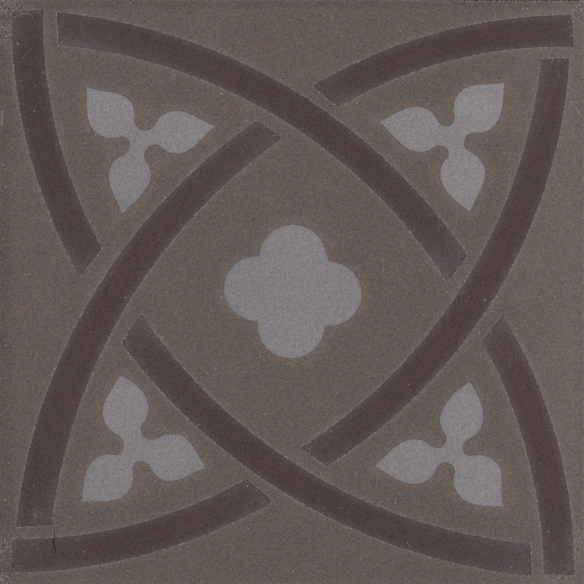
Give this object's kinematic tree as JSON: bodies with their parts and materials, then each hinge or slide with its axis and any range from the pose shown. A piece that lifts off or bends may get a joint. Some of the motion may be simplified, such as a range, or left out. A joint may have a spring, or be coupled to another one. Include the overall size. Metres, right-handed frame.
{
  "type": "cement tile",
  "caption": "Square pressed cement floor tile, with interlaced dark straps, pale three-leaved sprigs and a lobed flower set flush into its wearing face.",
  "frame": {"origin": "middle of the back, on the plane that the tile is bedded on", "axes": "+Z out of the patterned face, +Y towards the top edge of the pattern, +X to its right"},
  "size_m": [0.2, 0.2, 0.016],
  "materials": {
    "cement": "matt pigmented cement, worn smooth on the face"
  },
  "bodies": {
    "root": {"cement_tile": "cement"}
  },
  "joints": []
}
